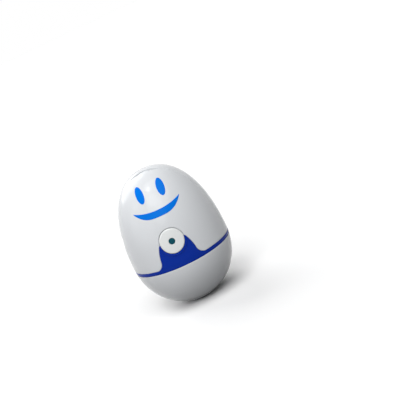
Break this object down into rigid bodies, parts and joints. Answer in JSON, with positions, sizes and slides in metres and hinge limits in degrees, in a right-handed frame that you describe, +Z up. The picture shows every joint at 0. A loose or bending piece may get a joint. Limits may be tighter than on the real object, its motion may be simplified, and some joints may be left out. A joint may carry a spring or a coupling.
{
  "type": "uv toothbrush sterilizer",
  "caption": "Egg-shaped toothbrush sterilizer with a smiling lift-up door, round push button, blue waist band and collar, UV lamp chamber, neck slot and battery bay.",
  "frame": {"origin": "middle of the foot pad's underside, on the table", "axes": "+Z up along the egg's axis, the face and button look along -Y, +X to the right seen from the front"},
  "size_m": [0.076, 0.0763, 0.1056],
  "materials": {
    "white_shell": "moulded cool white ABS, high gloss",
    "blue_plastic": "deep cobalt, slightly translucent, high gloss",
    "face_print": "bright blue gloss print",
    "button_plastic": "warm off-white, satin gloss",
    "window_plastic": "teal tinted clear plastic",
    "inner_plastic": "satin moulded white",
    "reflector_metal": "bright rolled aluminium",
    "steel": "zinc-plated steel",
    "rubber": "matt grey elastomer",
    "quartz": "clear fused quartz",
    "circuit_board": "green solder mask",
    "black_plastic": "moulded black",
    "cell_can": "plain printed sleeve",
    "ballast_iron": "cast iron slug"
  },
  "bodies": {
    "base": {"lower_bowl": "white_shell", "blue_band": "blue_plastic", "rear_shell": "white_shell", "neck_grommet": "rubber", "chamber_liner": "inner_plastic", "deck_plate": "inner_plastic", "hinge_pin": "steel", "catch_plate_left": "steel", "catch_plate_right": "steel", "button_housing": "inner_plastic", "button_retaining_ring": "inner_plastic", "switch_board": "circuit_board", "tact_switch": "black_plastic", "indicator_led": "window_plastic", "button_spring": "steel", "lamp_tube": "quartz", "lamp_cap_lower": "steel", "lamp_cap_upper": "steel", "lamp_holder_lower": "inner_plastic", "lamp_holder_upper": "inner_plastic", "lamp_reflector": "reflector_metal", "lamp_guard": "inner_plastic", "guard_screw_left": "steel", "guard_screw_right": "steel", "brush_rest": "inner_plastic", "battery_tray": "inner_plastic", "battery_cell_front": "cell_can", "battery_cell_rear": "cell_can", "contact_bridge": "steel", "contact_front": "steel", "contact_rear": "steel", "contact_spring_front": "steel", "contact_spring_rear": "steel", "main_board": "circuit_board", "inverter_transformer": "black_plastic", "capacitor": "black_plastic", "timer_chip": "black_plastic", "reed_switch": "quartz", "board_screw_left": "steel", "board_screw_right": "steel", "housing_screw_left": "steel", "housing_screw_right": "steel", "ballast_weight": "ballast_iron", "foot_pad": "rubber"},
    "door": {"face_door": "white_shell", "eye_left": "face_print", "eye_right": "face_print", "smile": "face_print", "door_reflector": "reflector_metal", "door_magnet_left": "steel", "door_magnet_right": "steel"},
    "button": {"button_cap": "button_plastic", "indicator_window": "window_plastic"},
    "hatch": {"battery_hatch": "white_shell", "hatch_screw": "steel"}
  },
  "joints": [
    {"name": "door_hinge", "type": "hinge", "parent": "base", "child": "door", "pos_m": [0, -0.0085, 0.1024], "axis": [-1, 0, 0], "range_deg": [0, 95]},
    {"name": "button_press", "type": "slide", "parent": "base", "child": "button", "axis": [0, 1, 0], "range_m": [0, 0.0018], "stiffness_N_per_m": 250, "springref_m": -0.004, "deforming": ["button_spring"]},
    {"name": "hatch_slide", "type": "slide", "parent": "base", "child": "hatch", "axis": [0, 1, 0], "range_m": [0, 0.03]}
  ]
}
